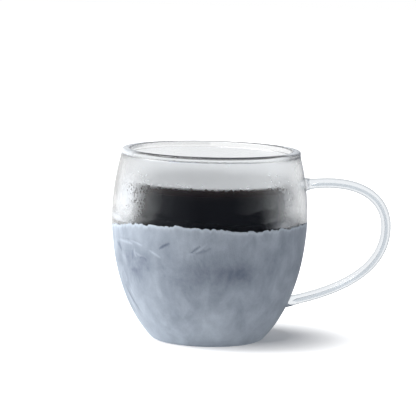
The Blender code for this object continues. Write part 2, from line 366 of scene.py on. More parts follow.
def cup_curve():
    """Outside of the inner cup: a parabola down to the waist, then a superellipse to the middle."""
    side = np.linspace(LIP_CREST, CUP_WAIST_HEIGHT, CUP_SIDE_ROWS, endpoint=False)
    rise = (side - CUP_WAIST_HEIGHT) / (LIP_BASE - CUP_WAIST_HEIGHT)
    side_radius = CUP_WAIST_RADIUS + (CUP_MOUTH_RADIUS - CUP_WAIST_RADIUS) * rise**2
    angle = np.linspace(0, math.pi / 2, CUP_BOTTOM_ROWS)[:-1]
    power = 2 / CUP_BOTTOM_FULLNESS
    radius = CUP_WAIST_RADIUS * np.cos(angle) ** power
    height = CUP_WAIST_HEIGHT - (CUP_WAIST_HEIGHT - CUP_FLOOR) * np.sin(angle) ** power
    falling = np.column_stack([np.append(side_radius, radius), np.append(side, height)])
    return np.vstack([falling, [(0.0, CUP_FLOOR)]])


def cup_inside(growth=0.0):
    """Inside of the cup, pushed into the glass by a growth, ending on the axis."""
    curve = offset(cup_curve(), growth - INNER_WALL)
    curve[-1, 0] = 0.0
    return curve


def lip_curve(inset):
    """Section of the lip from the cup over the crest to the outside: a superellipse less an inset."""
    over = np.linspace(math.pi, 0, LIP_STEPS)
    power = 2 / LIP_FULLNESS
    across = (LIP_HALF - inset) * np.sign(np.cos(over)) * np.abs(np.cos(over)) ** power
    rise = (LIP_RISE - inset) * np.clip(np.sin(over), 0, 1) ** power
    return np.column_stack([LIP_MIDDLE + across, LIP_BASE + rise])


def frost_bed(height):
    """How far the glass lies inside the outline: a thin skin, deeper under the frost."""
    share = ease((FROST_BED_TOP - height) / FROST_BED_SLOPE)
    return GLASS_SKIN + (FROST_BED - GLASS_SKIN) * share


def below(curve, height):
    """The part of a falling curve under a height."""
    return curve[curve[:, 1] < height]


# Meshes


def into_scene(thing):
    """A new object linked to the scene."""
    bpy.context.scene.collection.objects.link(thing)


def round_angles(columns):
    """Even angles round the axis, one for each column of a grid."""
    return np.linspace(0, 2 * math.pi, columns, endpoint=False)[:, None]


def capped(tube):
    """A tube of points closed at both ends by the middle of its first and its last ring."""
    first = np.repeat(tube[:, :1].mean(axis=0, keepdims=True), len(tube), axis=0)
    last = np.repeat(tube[:, -1:].mean(axis=0, keepdims=True), len(tube), axis=0)
    return np.concatenate([first, tube, last], axis=1)


def ring(profile, columns):
    """A profile of (radius, height) turned about the axis: x = r cos a, y = r sin a, z = height."""
    angle = round_angles(columns)
    radius, height = np.broadcast_arrays(profile[None, :, 0], profile[None, :, 1])
    return np.stack([radius * np.cos(angle), radius * np.sin(angle), height + 0 * angle], axis=-1)


def grid_faces(columns, rows, close_rows):
    """Quads of a grid that is closed round its columns, and along its rows too if asked."""
    column = np.arange(columns)[:, None]
    row = np.arange(rows if close_rows else rows - 1)[None, :]
    next_column = (column + 1) % columns
    next_row = (row + 1) % rows
    corners = [(column, row), (column, next_row), (next_column, next_row), (next_column, row)]
    return np.stack([c * rows + r + 0 * column * row for c, r in corners], axis=-1).reshape(-1, 4)


def put_piece(name, points, faces, material, weld=False, sharp=None, **fields):
    """A mesh from points in millimetres and quads; each field is a value per point for the material."""
    mesh = bpy.data.meshes.new(name)
    mesh.vertices.add(len(points))
    mesh.vertices.foreach_set("co", (points * MM).astype(np.float32).ravel())
    mesh.loops.add(faces.size)
    mesh.loops.foreach_set("vertex_index", faces.astype(np.int32).ravel())
    mesh.polygons.add(len(faces))
    mesh.polygons.foreach_set("loop_start", np.arange(0, faces.size, 4, dtype=np.int32))
    mesh.update(calc_edges=True)
    for field, values in fields.items():
        layer = mesh.attributes.new(field, "FLOAT", "POINT")
        layer.data.foreach_set("value", values.astype(np.float32).ravel())
    if weld:
        shape = bmesh.new()
        shape.from_mesh(mesh)
        bmesh.ops.remove_doubles(shape, verts=shape.verts, dist=0.001 * MM)
        shape.to_mesh(mesh)
        shape.free()
    mesh.validate()
    mesh.shade_smooth()
    if sharp is not None:
        mesh.set_sharp_from_angle(angle=sharp)
    mesh.materials.append(material)
    piece = bpy.data.objects.new(name, mesh)
    into_scene(piece)
    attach(piece, "root")
    return piece


def put_grid(name, grid, material, close_rows=False, weld=False, sharp=None, **fields):
    """A grid of columns and rows of points, closed round its columns, as one piece."""
    columns, rows = grid.shape[:2]
    faces = grid_faces(columns, rows, close_rows)
    return put_piece(name, grid.reshape(-1, 3), faces, material, weld, sharp, **fields)


def round_noise(angle, height, cells_round, cell_height, seed):
    """Smooth noise that closes round the mug: random values on a lattice, blended by the smooth step."""
    across = np.mod(angle / (2 * math.pi), 1.0) * cells_round
    up = np.asarray(height) / cell_height
    first_row = int(math.floor(np.min(up)))
    rows = int(math.floor(np.max(up))) - first_row + 2
    lattice = np.random.default_rng(seed).random((cells_round, rows))
    column = np.floor(across).astype(int)
    row = np.floor(up).astype(int)
    blend_across = ease(across - column)
    blend_up = ease(up - row)
    column = column % cells_round
    beside = (column + 1) % cells_round
    row = row - first_row
    lower = lattice[column, row] * (1 - blend_across) + lattice[beside, row] * blend_across
    upper = lattice[column, row + 1] * (1 - blend_across) + lattice[beside, row + 1] * blend_across
    return lower * (1 - blend_up) + upper * blend_up


# Node trees


def put_node(tree, kind, inputs=None, **settings):
    """One shader node with its settings; an input that is a socket is linked, any other is set."""
    node = tree.nodes.new("ShaderNode" + kind)
    for name, value in settings.items():
        setattr(node, name, value)
    for name, value in (inputs or {}).items():
        if isinstance(value, bpy.types.NodeSocket):
            tree.links.new(value, node.inputs[name])
        else:
            node.inputs[name].default_value = value
    return node


def feed(node, socket, value):
    """A link from a value to one of a node's inputs."""
    node.id_data.links.new(value, node.inputs[socket])


def plain(shader, **values):
    """Inputs of a shader or a group that are the same all over the surface."""
    for socket, value in values.items():
        shader.inputs[socket.replace("_", " ")].default_value = value


def spread(tree, value, low, high, to_low, to_high):
    """Map Range: a value between low and high, carried to two new ends."""
    ends = {"Value": value, "From Min": low, "From Max": high, "To Min": to_low, "To Max": to_high}
    return put_node(tree, "MapRange", ends, clamp=True).outputs["Result"]


def maths(tree, operation, first, second):
    """One Math node on two values."""
    return put_node(tree, "Math", {0: first, 1: second}, operation=operation).outputs[0]


def between(tree, share, low, high):
    """A value between two, by a share from 0 to 1."""
    return spread(tree, share, 0.0, 1.0, low, high)


def point_field(tree, name):
    """A piece's own value per point."""
    return put_node(tree, "Attribute", attribute_name=name).outputs["Fac"]


def lies_along(tree, way, line):
    """How far a direction lies along a line: their dot product."""
    return put_node(tree, "VectorMath", {0: way, 1: line}, operation="DOT_PRODUCT").outputs["Value"]


def weighted(tree, *terms):
    """The sum of several values, each with its weight."""
    total = 0.0
    for value, weight in terms:
        total = put_node(
            tree, "Math", {0: value, 1: weight, 2: total}, operation="MULTIPLY_ADD").outputs[0]
    return total


def blend(tree, share, low, high):
    """A colour between two, by a share; each is a socket or a plain colour."""
    ends = [end if isinstance(end, bpy.types.NodeSocket) else (*end, 1) for end in (low, high)]
    return put_node(tree, "Mix", {0: share, 6: ends[0], 7: ends[1]}, data_type="RGBA").outputs[2]


def new_group(name, inputs, outputs):
    """A node group with named sockets, and its input and output nodes."""
    group = bpy.data.node_groups.new(name, "ShaderNodeTree")
    for socket, kind in inputs:
        group.interface.new_socket(socket, in_out="INPUT", socket_type="NodeSocket" + kind)
    for socket, kind in outputs:
        group.interface.new_socket(socket, in_out="OUTPUT", socket_type="NodeSocket" + kind)
    return group, group.nodes.new("NodeGroupInput"), group.nodes.new("NodeGroupOutput")


def ice_grain_group():
    """Frost and mist: soft clouds drawn out upwards, and a fine grain, each from 0 to 1."""
    inputs = [("Place", "Vector"), ("Cloud Scale", "Float"),
              ("Grain Scale", "Float"), ("Draw", "Float")]
    outputs = [("Clouds", "Float"), ("Grain", "Float")]
    group, given, result = new_group("ice_grain", inputs, outputs)
    drawn = put_node(group, "CombineXYZ", {"X": 1.0, "Y": 1.0, "Z": given.outputs["Draw"]})
    place = put_node(
        group, "VectorMath", {0: given.outputs["Place"], 1: drawn.outputs[0]}, operation="MULTIPLY")
    clouds = put_node(group, "TexNoise", {
        "Vector": place.outputs[0], "Scale": given.outputs["Cloud Scale"], "Detail": 4.0, "Roughness": 0.55,
        "Distortion": 0.4})
    grain = put_node(group, "TexNoise", {
        "Vector": given.outputs["Place"], "Scale": given.outputs["Grain Scale"], "Detail": 2.0})
    feed(result, "Clouds", spread(group, clouds.outputs[0], 0.3, 0.7, 0.0, 1.0))
    feed(result, "Grain", spread(group, grain.outputs[0], 0.3, 0.7, 0.0, 1.0))
    return group


def blown_ripple_group():
    """Blown glass and still liquid: slow waves in the surface and faint smears, each from 0 to 1."""
    inputs = [("Place", "Vector"), ("Wave Scale", "Float")]
    outputs = [("Waves", "Float"), ("Smears", "Float")]
    group, given, result = new_group("blown_ripple", inputs, outputs)
    waves = put_node(group, "TexNoise", {
        "Vector": given.outputs["Place"], "Scale": given.outputs["Wave Scale"], "Detail": 1.0})
    finer = maths(group, "MULTIPLY", given.outputs["Wave Scale"], 2.7)
    smears = put_node(group, "TexNoise", {
        "Vector": given.outputs["Place"], "Scale": finer, "Detail": 3.0, "Distortion": 1.2})
    feed(result, "Waves", waves.outputs[0])
    feed(result, "Smears", spread(group, smears.outputs[0], 0.35, 0.75, 0.0, 1.0))
    return group


def water_beads_group():
    """Water beads: round spots in random cells, as many as the share asks, with a dome on each."""
    inputs = [("Place", "Vector"), ("Bead Scale", "Float"), ("Share", "Float")]
    outputs = [("Clear", "Float"), ("Swell", "Float")]
    group, given, result = new_group("water_beads", inputs, outputs)
    cells = put_node(group, "TexVoronoi", {
        "Vector": given.outputs["Place"], "Scale": given.outputs["Bead Scale"]})
    draw = put_node(group, "SeparateColor", {0: cells.outputs["Color"]}).outputs
    present = maths(group, "LESS_THAN", draw["Green"], given.outputs["Share"])
    radius = maths(group, "MULTIPLY", present, between(group, draw["Red"], 0.26, 0.52))
    inward = maths(group, "SUBTRACT", radius, cells.outputs["Distance"])
    feed(result, "Clear", spread(group, inward, -0.03, 0.05, 0.0, 1.0))
    dome = put_node(group, "MapRange", {
        "Value": inward, "From Min": 0.0, "From Max": 0.35}, clamp=True, interpolation_type="SMOOTHSTEP")
    feed(result, "Swell", dome.outputs["Result"])
    return group


GLASS_CLEAR = (0.984, 0.993, 1.0)
# Navy of the painted dark reflection on the lip's crest
GLASS_PAINTED_LINE = (0.004, 0.010, 0.030)
# Share of the rod's painted edge shade on the faces of its bore
BORE_PAINTED_SHADE = 0.22
ROD_CLEAR = (0.91, 0.94, 0.97)
# Grey-green of the rod's painted edge shade
ROD_PAINTED_EDGE_SHADE = (0.20, 0.235, 0.255)
GLASS_INDEX = 1.47
ROD_INDEX = 1.5
DEW_SHADE = (0.83, 0.87, 0.91)
DEW_WHITE = (0.93, 0.95, 0.97)
FROST_DARK = (0.168, 0.203, 0.270)
FROST_PALE = (0.565, 0.63, 0.705)
FROST_SHEEN = (0.86, 0.93, 1.0, 1)
DRINK_BLACK = (0.006, 0.0055, 0.006)
DRINK_BROWN = (0.060, 0.036, 0.026)
GEL_SHADE = (0.62, 0.67, 0.72)
GEL_PALE = (0.86, 0.89, 0.92)

ICE_GRAIN = ice_grain_group()
WATER_BEADS = water_beads_group()
BLOWN_RIPPLE = blown_ripple_group()


def new_finish(name, roughness, ior=1.45, transmission=0.0):
    """A material with its Principled shader, and the place on the piece."""
    material = bpy.data.materials.new(name)
    material.use_nodes = True
    tree = material.node_tree
    shader = tree.nodes["Principled BSDF"]
    plain(shader, Roughness=roughness, IOR=ior, Transmission_Weight=transmission)
    place = put_node(tree, "TexCoord").outputs["Object"]
    return material, tree, shader, place


def place_group(tree, group, place, **values):
    """A node group in a material, with its own values."""
    node = put_node(tree, "Group", node_tree=group)
    feed(node, "Place", place)
    plain(node, **values)
    return node.outputs


def relief(tree, shader, height, distance, strength=1.0):
    """A Bump node from a height to the shader's normal."""
    bump = put_node(tree, "Bump", {"Height": height, "Distance": distance, "Strength": strength})
    feed(shader, "Normal", bump.outputs["Normal"])


def rod_glass_finish():
    """Drawn glass rod: clear, with painted grey-green shade where it turns edge on, with slow waves and
    faint smears.
    """
    material, tree, shader, place = new_finish("rod_glass", 0.0, ROD_INDEX, 1.0)
    # Painted shade: grey-green where the rod turns edge on, and a share of it on the bore's faces
    turned = put_node(tree, "LayerWeight", {"Blend": 0.5}).outputs["Facing"]
    edge = spread(tree, turned, 0.35, 0.9, 0.0, 1.0)
    bore = point_field(tree, "bore")
    shade = maths(tree, "MAXIMUM", edge, maths(tree, "MULTIPLY", bore, BORE_PAINTED_SHADE))
    feed(shader, "Base Color", blend(tree, shade, ROD_CLEAR, ROD_PAINTED_EDGE_SHADE))
    ripple = place_group(tree, BLOWN_RIPPLE, place, Wave_Scale=60.0)
    feed(shader, "Roughness", between(tree, ripple["Smears"], 0.0, 0.03))
    relief(tree, shader, ripple["Waves"], 0.0002)
    return material


def bead_spots(tree, place):
    """Clear spots where small beads stand or larger ones have run off, and the swell of the small beads."""
    beads = place_group(tree, WATER_BEADS, place, Bead_Scale=720.0)
    runs = place_group(tree, WATER_BEADS, place, Bead_Scale=380.0)
    for drops, field in ((beads, "beads"), (runs, "runs")):
        share = point_field(tree, field)
        tree.links.new(share, drops["Clear"].node.inputs["Share"])
    return maths(tree, "MAXIMUM", beads["Clear"], runs["Clear"]), beads["Swell"]


def misted_glass_finish():
    """Blown glass under condensed water: dull where the mist lies, clear in the beads, which stand up."""
    material, tree, shader, place = new_finish("misted_glass", 0.0, GLASS_INDEX, 1.0)
    # Painted reflection: the front of the lip's crest tinted dark navy
    tone = point_field(tree, "tone")
    feed(shader, "Base Color", blend(tree, tone, GLASS_CLEAR, GLASS_PAINTED_LINE))
    ripple = place_group(tree, BLOWN_RIPPLE, place, Wave_Scale=45.0)
    fog = place_group(tree, ICE_GRAIN, place, Cloud_Scale=120.0, Grain_Scale=1100.0, Draw=1.0)
    mist = point_field(tree, "mist")
    clear, swell = bead_spots(tree, place)
    uneven = maths(tree, "MULTIPLY", between(tree, fog["Clouds"], 0.85, 1.0),
                    between(tree, fog["Grain"], 0.75, 1.0))
    scatter = maths(tree, "MULTIPLY", mist, uneven)
    scatter = maths(tree, "MULTIPLY", scatter, maths(tree, "SUBTRACT", 1.0, clear))
    feed(shader, "Roughness", between(tree, scatter, 0.0, MIST_SCATTER))
    waves = maths(tree, "MULTIPLY", ripple["Waves"], 0.4)
    drops = maths(tree, "ADD", swell, maths(tree, "MULTIPLY", fog["Grain"], 0.15))
    drops = maths(tree, "MULTIPLY", maths(tree, "MULTIPLY", drops, mist), 0.1)
    relief(tree, shader, maths(tree, "ADD", waves, drops), 0.001)
    return material


def dew_finish():
    """White mist: fine drops, as thick as the skin says, clear elsewhere."""
    material, tree, shader, place = new_finish("white_dew", 0.5, 1.33)
    fog = place_group(tree, ICE_GRAIN, place, Cloud_Scale=120.0, Grain_Scale=1100.0, Draw=1.0)
    colour = blend(tree, fog["Clouds"], DEW_SHADE, DEW_WHITE)
    feed(shader, "Base Color", colour)
    feed(shader, "Roughness", between(tree, fog["Grain"], 0.4, 0.7))
    dew = point_field(tree, "dew")
    clear = bead_spots(tree, place)[0]
    thick = maths(tree, "MULTIPLY", dew, between(tree, fog["Clouds"], 0.8, 1.0))
    thick = maths(tree, "MULTIPLY", thick, maths(tree, "SUBTRACT", 1.0, clear))
    feed(shader, "Alpha", thick)
    return material


def frost_finish():
    """Ice on cold glass: grey-blue where the drink shows through, whiter at its edge, with partly painted
    highlights on its ridges and partly painted light towards its top and foot.
    """
    material, tree, shader, place = new_finish("frosted_ice", 0.6)
    ice = place_group(tree, ICE_GRAIN, place, Cloud_Scale=100.0, Grain_Scale=1500.0, Draw=0.75)
    brushed = place_group(tree, ICE_GRAIN, place, Cloud_Scale=320.0, Grain_Scale=800.0, Draw=0.4)
    rime = point_field(tree, "rime")
    # Wiped marks, partly painted highlight and shade along their ridges
    marks = point_field(tree, "marks")
    depth = put_node(tree, "SeparateXYZ", {0: place}).outputs["Z"]
    # Lighter towards the top of the frost, painted light from above, and towards its foot, whiter thick ice
    # with no drink behind it and painted bounce light from the table
    upper = spread(tree, depth, 0.036, 0.055, 0.0, 1.0)
    lower = spread(tree, depth, 0.0, 0.040, 1.8, 0.0)
    pale_ice_and_painted_light = maths(tree, "MAXIMUM", upper, lower)
    share = weighted(tree, (ice["Clouds"], 0.42), (brushed["Clouds"], 0.12), (brushed["Grain"], 0.06),
                     (pale_ice_and_painted_light, 0.3), (rime, 0.6), (marks, 0.6))
    colour = blend(tree, share, FROST_DARK, FROST_PALE)
    feed(shader, "Base Color", colour)
    feed(shader, "Roughness", between(tree, ice["Grain"], 0.45, 0.7))
    plain(shader, Sheen_Weight=0.3, Sheen_Roughness=0.35, Sheen_Tint=FROST_SHEEN)
    height = weighted(tree, (ice["Clouds"], 0.5), (brushed["Clouds"], 0.3), (ice["Grain"], 0.2))
    relief(tree, shader, height, 0.0003, 0.6)
    return material


def drink_finish():
    """Black cold drink: brown where it is thin at the top edge, glossy."""
    material, tree, shader, place = new_finish("dark_drink", 0.03, 1.34)
    height = put_node(tree, "SeparateXYZ", {0: place}).outputs["Z"]
    edge = spread(tree, height, (DRINK_LEVEL - 5) * MM, (DRINK_LEVEL + 0.5) * MM, 0.0, 1.0)
    flat = put_node(tree, "VectorMath", {0: place, 1: (1, 1, 0)}, operation="MULTIPLY").outputs[0]
    radius = put_node(tree, "VectorMath", {0: flat}, operation="LENGTH").outputs["Value"]
    side = spread(tree, radius, (LIP_INSIDE - 4) * MM, (LIP_INSIDE - 2) * MM, 0.0, 1.0)
    edge = maths(tree, "MULTIPLY", edge, side)
    feed(shader, "Base Color", blend(tree, edge, DRINK_BLACK, DRINK_BROWN))
    ripple = place_group(tree, BLOWN_RIPPLE, place, Wave_Scale=60.0)
    feed(shader, "Roughness", between(tree, ripple["Smears"], 0.02, 0.06))
    relief(tree, shader, ripple["Waves"], 0.00003)
    plain(shader, Coat_Weight=1.0)
    return material


def gel_finish():
    """Frozen gel: pale blue-grey with clouds of crystals."""
    material, tree, shader, place = new_finish("frozen_gel", 0.35, 1.35)
    ice = place_group(tree, ICE_GRAIN, place, Cloud_Scale=140.0, Grain_Scale=700.0, Draw=0.6)
    feed(shader, "Base Color", blend(tree, ice["Clouds"], GEL_SHADE, GEL_PALE))
    feed(shader, "Roughness", between(tree, ice["Grain"], 0.25, 0.6))
    relief(tree, shader, ice["Grain"], 0.0003, 0.8)
    return material


def rubber_finish(name, colour, worn_colour, low_gloss, high_gloss):
    """Cast silicone: a matt surface with faint clouds and a fine grain."""
    material, tree, shader, place = new_finish(name, low_gloss)
    cast = place_group(tree, ICE_GRAIN, place, Cloud_Scale=260.0, Grain_Scale=3000.0, Draw=1.0)
    feed(shader, "Base Color", blend(tree, cast["Clouds"], colour, worn_colour))
    feed(shader, "Roughness", between(tree, cast["Grain"], low_gloss, high_gloss))
    relief(tree, shader, cast["Grain"], 0.00005, 0.6)
    return material


# Pieces


def frost_edge(angle):
    """Height of the frozen edge: a smooth line through its heights, with teeth and crumbs of ice on it."""
    step = 2 * math.pi / len(FROST_EDGE)
    place = np.mod(angle / step, len(FROST_EDGE))
    first = np.floor(place).astype(int)
    blend = ease(place - first)
    heights = np.array(FROST_EDGE)
    line = heights[first % len(heights)] * (1 - blend) + heights[(first + 1) % len(heights)] * blend
    teeth = round_noise(angle, 0 * angle, EDGE_TEETH, 1.0, SEED) - 0.5
    crumbs = round_noise(angle, 0 * angle, EDGE_CRUMBS, 1.0, SEED + 1) - 0.5
    return line + EDGE_JAG * teeth + EDGE_CRUMBLE * crumbs


def mist_field(angle, height):
    """Share of mist: full at the sides and above the drink, thin over it, none just above the frost."""
    low = MIST_LOW * ease((MIST_LOW_TOP - height) / MIST_LOW_HEIGHT)
    left = ease((-np.cos(angle) - MIST_LEFT - low) / MIST_LEFT_WIDTH)
    right = ease((np.cos(angle) - MIST_RIGHT) / MIST_RIGHT_WIDTH)
    above = ease((height - MIST_ABOVE) / MIST_ABOVE_WIDTH)
    thawed = ease((height - frost_edge(angle) - THAW_GAP) / THAW_WIDTH)
    thawed = np.maximum(thawed, ease((np.abs(np.cos(angle)) - THAW_SIDE) / THAW_FADE))
    thin = MIST_THIN + VEIL_THIN * ease((-np.cos(angle) - VEIL_FROM) / VEIL_WIDTH)
    return thawed * (1 - (1 - thin) * (1 - left) * (1 - right) * (1 - above))


def lip_mist(angle, height):
    """How dull the mist is: thinner behind and on the lip's side, and wiped off the front of the crest."""
    beside = (LIP_CLEAR_SIDE + LIP_CLEAR_FADE - np.abs(np.cos(angle))) / LIP_CLEAR_FADE
    front = ease(beside) * (np.sin(angle) < 0)
    wall = WALL_MIST + (BACK_MIST - WALL_MIST) * ease(1 + np.sin(angle) / BACK_MIST_FADE)
    dull = wall + (LIP_MIST - wall) * ease((height - LIP_MIST_FROM) / LIP_MIST_FADE)
    crest = ease((height - LIP_CLEAR) / LIP_CLEAR_WIDTH)
    return dull * (1 - crest) + CREST_MIST * crest * (1 - front)


def lip_tone(angle, height):
    """Painted reflection: a dark line along the lip's crest, strongest in front, fading to the sides."""
    beside = (LIP_PAINTED_LINE_SIDE + LIP_PAINTED_LINE_FADE - np.abs(np.cos(angle))) / LIP_PAINTED_LINE_FADE
    front = ease(beside) * (np.sin(angle) < 0)
    return front * ease((height - LIP_PAINTED_LINE_FROM) / LIP_PAINTED_LINE_WIDTH)


def patch_field(patches, angle, height):
    """Share of filled cells: the highest of several soft round patches, each a bell cut off at its foot."""
    share = 0
    for middle, level, half_angle, half_height, most in patches:
        across = (np.degrees(angle) - middle) / half_angle
        up = (height - level) / half_height
        share = np.maximum(share, most * np.exp(-(across**2) - up**2) - PATCH_FOOT)
    return share


def blown_glass(material):
    """Both walls and the lip as one fused body, its profile from the middle of the cup to under the cup."""
    inside = below(cup_inside(), LIP_BASE - HOLE_EDGE)[::-1]
    lip = lip_curve(GLASS_SKIN)
    outside = outline_curve()[1:]
    outside[:, 0] -= frost_bed(outside[:, 1])
    base = np.array([
        (COUNTERBORE_RADIUS + HOLE_EDGE, 0.0),
        (COUNTERBORE_RADIUS, HOLE_EDGE),
        (COUNTERBORE_RADIUS, COUNTERBORE_DEPTH),
        (STEM_HOLE_RADIUS, COUNTERBORE_DEPTH),
        (STEM_HOLE_RADIUS, BASE_THICKNESS),
    ])
    gap_outside = offset(outline_curve(), -OUTER_WALL)[::2]
    gap_outside = below(gap_outside[gap_outside[:, 1] > BASE_THICKNESS], LIP_BASE - MOUTH_GAP)
    turn = np.linspace(0, math.pi, GAP_TOP_ROWS)
    gap_top = np.column_stack([
        CUP_MOUTH_RADIUS + MOUTH_GAP / 2 * (1 + np.cos(turn)),
        LIP_BASE - MOUTH_GAP / 2 * (1 - np.sin(turn)),
    ])
    cup_outside = below(cup_curve(), LIP_BASE - MOUTH_GAP)
    profile = np.vstack([inside, lip, outside, base, gap_outside[::-1], gap_top, cup_outside])
    grid = ring(profile, GLASS_TURNS)
    angle = round_angles(GLASS_TURNS)
    radius, height = profile[None, :, 0], profile[None, :, 1]
    outer_face = np.zeros(len(profile))
    outer_face[len(inside):len(inside) + len(lip) + len(outside)] = 1
    mist = outer_face * mist_field(angle, height) * lip_mist(angle, height)
    beads = outer_face * patch_field(BEAD_PATCHES, angle, height)
    runs = outer_face * patch_field(RUN_PATCHES, angle, height)
    mist *= 1 - patch_field(DRY_PATCHES, angle, height)
    side = ease((np.abs(np.cos(angle)) - SIDE_DRY_FROM) / SIDE_DRY_WIDTH)
    mist *= 1 - SIDE_DRY * side * ease((LIP_MIST_FROM - height) / SIDE_DRY_FADE)
    # Painted dark reflection along the front of the crest
    tone = outer_face * (radius < LIP_MIDDLE + LIP_PAINTED_LINE_REACH) * lip_tone(angle, height)
    piece = put_grid(
        "blown_glass", grid, material, weld=True, sharp=math.radians(35), mist=mist, beads=beads, runs=runs,
        tone=tone)
    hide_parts("outer_wall", "inner_cup", "rim_bead")


def dew_skin(material):
    """White mist: a thin closed skin over the lip and down the wall, thick at the lip's ends, in patches."""
    wall = np.linspace(LIP_BASE, DEW_FOOT, DEW_ROWS)[1:]
    layers = [np.vstack([lip_curve(inset), np.column_stack([outline(wall) - inset, wall])])
              for inset in (DEW_OUTSIDE, DEW_INSIDE)]
    profile = np.vstack([layers[0], layers[1][::-1]])
    angle = round_angles(TURNS)
    radius, height = profile[None, :, 0], profile[None, :, 1]
    end = ease((np.abs(np.cos(angle)) - DEW_FROM) / DEW_WIDTH)
    behind = DEW_BACK * (np.sin(angle) > 0)
    from_top = np.where(np.cos(angle) > 0, LIP_CLEAR, LIP_BASE)
    lip = (behind + (DEW_END - behind) * end) * ease((height - from_top) / DEW_FADE)
    lip = lip * ease((radius - LIP_INSIDE - DEW_INNER) / DEW_INNER_FADE)
    dew = np.maximum(lip, patch_field(DEW_PATCHES, angle, height) * (radius > LIP_MIDDLE))
    beads = patch_field(BEAD_PATCHES, angle, height)
    runs = patch_field(RUN_PATCHES, angle, height)
    piece = put_grid(
        "dew_skin", ring(profile, TURNS), material, close_rows=True, dew=dew, beads=beads, runs=runs)


def wiped_marks_and_painted_ridge_light(angle, height):
    """Shade of the wiped marks, partly painted highlight and shade along their ridges: each a parabola
    through its points on the unrolled wall, soft-sided.
    """
    shade = np.zeros(np.broadcast(angle, height).shape)
    t = np.linspace(0, 1, MARK_STEPS)
    for start, middle, end, half_width, depth in WIPE_MARKS:
        start, middle, end = np.array(start), np.array(middle), np.array(end)
        pull = 2 * middle - (start + end) / 2
        line = np.outer((1 - t) ** 2, start) + np.outer(2 * t * (1 - t), pull) + np.outer(t**2, end)
        across = np.radians(np.degrees(angle)[..., None] - line[:, 0]) * wall_radius(line[:, 1])
        up = height[..., None] - line[:, 1]
        taper = half_width * (MARK_TIP + (1 - MARK_TIP) * np.sin(math.pi * t))
        shade += depth * np.exp(-((across**2 + up**2) / taper**2)).max(axis=-1)
    return shade


def frost_coat(material):
    """Ice on the lower half: a thin closed skin from the frozen edge to the foot, uneven and wiped."""
    angle = round_angles(FINE_TURNS)
    edge = frost_edge(angle)
    outer_share = np.linspace(0, 1, FROST_ROWS)[None, :]
    height = edge + (FROST_FOOT - edge) * outer_share
    thick = ease((FROST_BED_TOP - height) / FROST_BED_SLOPE) * ease((height - FROST_FOOT) / FROST_FOOT_FADE)
    lumps = 0
    for draw, (cells, size, weight) in enumerate(FROST_LUMPS):
        lumps = lumps + round_noise(angle, height, cells, size, SEED + 2 + draw) * weight
    # Wiped marks, partly painted highlight and shade along their ridges, for colour and relief
    marks = wiped_marks_and_painted_ridge_light(angle, height)
    depth = FROST_RELIEF * lumps + MARK_RELIEF * (1 - np.clip(marks, -1, 1))
    outer_radius = outline(height) - depth * thick - FROST_OUTSIDE
    inner_share = (1 - np.cos(np.linspace(math.pi, 0, FROST_INNER_ROWS)))[None, :] / 2
    inner_height = edge + (FROST_FOOT - edge) * inner_share
    inner_radius = outline(inner_height) - frost_bed(inner_height) - FROST_SINK
    radius = np.hstack([outer_radius, inner_radius])
    height = np.hstack([height, inner_height])
    marks = np.hstack([marks, np.zeros(inner_height.shape)])
    grid = np.stack([radius * np.cos(angle), radius * np.sin(angle), height], axis=-1)
    rime = np.exp(-((edge - height) / RIME_WIDTH) ** 2)
    piece = put_grid("frost_coat", grid, material, close_rows=True, rime=rime, marks=marks)


def cooling_gel(material):
    """Frozen gel in the gap: up the cup's outside, over an uneven top, down the wall, across the floor."""
    against_cup = below(offset(cup_curve(), GEL_GAP), GEL_LEVEL)[::-1]
    against_cup[0, 0] = 0.0
    against_wall = offset(outline_curve(), -OUTER_WALL - GEL_GAP)
    against_wall = against_wall[(against_wall[:, 1] < GEL_LEVEL) & (against_wall[:, 1] > GEL_FLOOR)]
    across = np.linspace(0, 1, GEL_TOP_ROWS)[1:-1]
    top_radius = against_cup[-1, 0] + (against_wall[0, 0] - against_cup[-1, 0]) * across
    top = np.column_stack([top_radius, np.full(len(across), GEL_LEVEL)])
    floor = np.array([(against_wall[-1, 0], GEL_FLOOR), (0.0, GEL_FLOOR)])
    profile = np.vstack([against_cup, top, against_wall, floor])
    grid = ring(profile, TURNS)
    angle = round_angles(TURNS)
    on_top = ((profile[:, 1] >= GEL_LEVEL - LEVEL_SLACK) & (profile[:, 0] > 0))[None, :]
    swell = round_noise(angle, profile[None, :, 0], GEL_CELLS, GEL_CELL_SIZE, SEED + 5)
    grid[..., 2] -= np.where(on_top, GEL_SWELL * swell, 0.0)
    piece = put_grid("frozen_filling", grid, material, weld=True, sharp=math.radians(40))
    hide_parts("cooling_gel")


def cold_drink(material):
    """Drink in the cup: a level top that climbs the glass at its edge, then the inside of the cup."""
    wetted = below(cup_inside(DRINK_WETTING), DRINK_LEVEL + MENISCUS)
    rim = wetted[0, 0]
    climb = 2 * MENISCUS_WIDTH
    level = np.linspace(0, rim - climb, DRINK_ROWS)
    radius = np.append(level, rim - climb * np.linspace(1, 0, MENISCUS_ROWS)[1:-1] ** 2)
    height = DRINK_LEVEL + MENISCUS * np.exp(-(rim - radius) / (MENISCUS_WIDTH / 2))
    profile = np.vstack([np.column_stack([radius, height]), wetted])
    put_grid("cold_drink", ring(profile, TURNS), material, weld=True, sharp=math.radians(60))


def bezier(start, start_pull, end_pull, end, steps):
    """A cubic curve: the four points weighted by (1-t)^3, 3t(1-t)^2, 3t^2(1-t) and t^3."""
    t = np.linspace(0, 1, steps)[:, None]
    near = (1 - t) ** 3 * start + 3 * t * (1 - t) ** 2 * start_pull
    return near + 3 * t**2 * (1 - t) * end_pull + t**3 * end


def weld_foot(height, slope):
    """Where a weld sits on the wall, and the way it leaves it, both as (x, z)."""
    return np.array([float(wall_radius(height)), height]), np.array([math.cos(slope), math.sin(slope)])


def to_wall(points, way):
    """Points slid along a way until they lie just inside the wall's outside."""
    for _ in range(SLIDES):
        reach = np.hypot(points[:, 0], points[:, 1])
        miss = reach - (outline(points[:, 2]) - WELD_SINK)
        points = points + miss[:, None] * way
    return points


